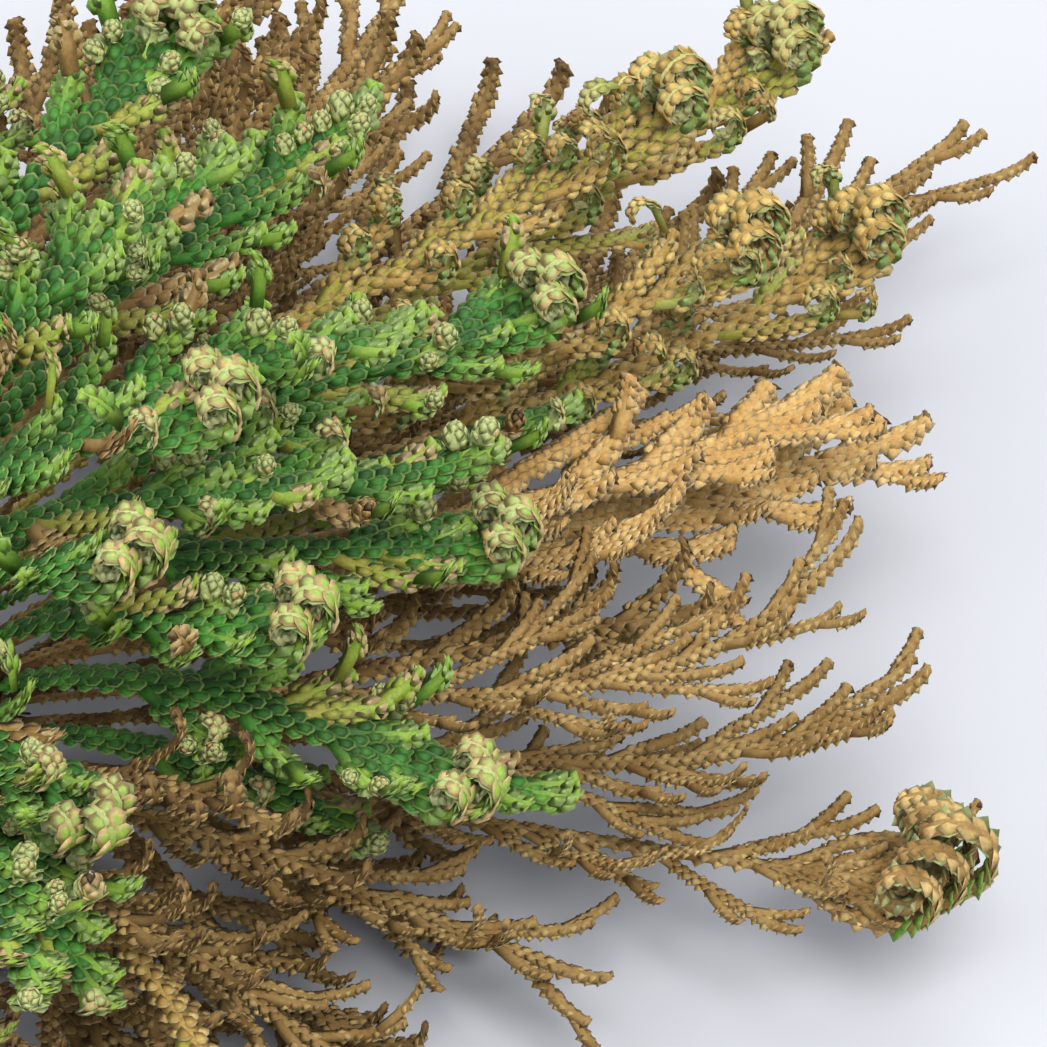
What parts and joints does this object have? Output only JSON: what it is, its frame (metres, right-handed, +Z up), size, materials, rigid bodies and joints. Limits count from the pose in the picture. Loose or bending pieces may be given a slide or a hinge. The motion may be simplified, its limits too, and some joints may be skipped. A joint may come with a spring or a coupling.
{
  "type": "rose of jericho plant",
  "caption": "Half-open resurrection plant: a rosette of flat scaly green fronds over dry tan ones, with curled branch tips, on a short crown and root tuft.",
  "frame": {"origin": "middle of the root tuft's flat underside, which the plant rests on", "axes": "+Z up out of the crown, +X towards the long dry fronds on the side that lies open, +Y to their left"},
  "size_m": [0.1796, 0.1758, 0.0506],
  "materials": {
    "green_frond": "matt, living scale leaves",
    "tan_frond": "matt, dry scale leaves",
    "rolled_frond": "matt, half-dry scale leaves",
    "old_leaf_base": "rough, dry",
    "dry_root": "rough, fibrous"
  },
  "bodies": {
    "root": {"crown": "old_leaf_base", "green_frond_01": "green_frond", "green_frond_02": "green_frond", "green_frond_03": "green_frond", "green_frond_04": "green_frond", "green_frond_05": "green_frond", "green_frond_06": "green_frond", "green_frond_07": "green_frond", "green_frond_08": "green_frond", "green_frond_09": "green_frond", "green_frond_10": "green_frond", "green_frond_11": "green_frond", "green_frond_12": "green_frond", "green_frond_13": "green_frond", "green_frond_14": "green_frond", "green_frond_15": "green_frond", "green_frond_16": "green_frond", "green_frond_17": "green_frond", "green_frond_18": "green_frond", "green_frond_19": "green_frond", "green_frond_20": "green_frond", "green_frond_21": "green_frond", "green_frond_22": "green_frond", "green_frond_23": "green_frond", "green_frond_24": "green_frond", "green_frond_25": "green_frond", "green_frond_26": "green_frond", "green_frond_27": "green_frond", "green_frond_28": "green_frond", "green_frond_29": "green_frond", "green_frond_30": "green_frond", "green_frond_31": "green_frond", "green_frond_32": "green_frond", "green_frond_33": "green_frond", "rolled_frond_01": "rolled_frond", "rolled_frond_02": "rolled_frond", "rolled_frond_03": "rolled_frond", "rolled_frond_04": "rolled_frond", "rolled_frond_05": "rolled_frond", "rolled_frond_06": "rolled_frond", "rolled_frond_07": "rolled_frond", "rolled_frond_08": "rolled_frond", "rolled_frond_09": "rolled_frond", "rolled_frond_10": "rolled_frond", "root_tuft": "dry_root", "tan_frond_01": "tan_frond", "tan_frond_02": "tan_frond", "tan_frond_03": "tan_frond", "tan_frond_04": "tan_frond", "tan_frond_05": "tan_frond", "tan_frond_06": "tan_frond", "tan_frond_07": "tan_frond", "tan_frond_08": "tan_frond", "tan_frond_09": "tan_frond", "tan_frond_10": "tan_frond", "tan_frond_11": "tan_frond", "tan_frond_12": "tan_frond", "tan_frond_13": "tan_frond", "tan_frond_14": "tan_frond", "tan_frond_15": "tan_frond"}
  },
  "joints": []
}
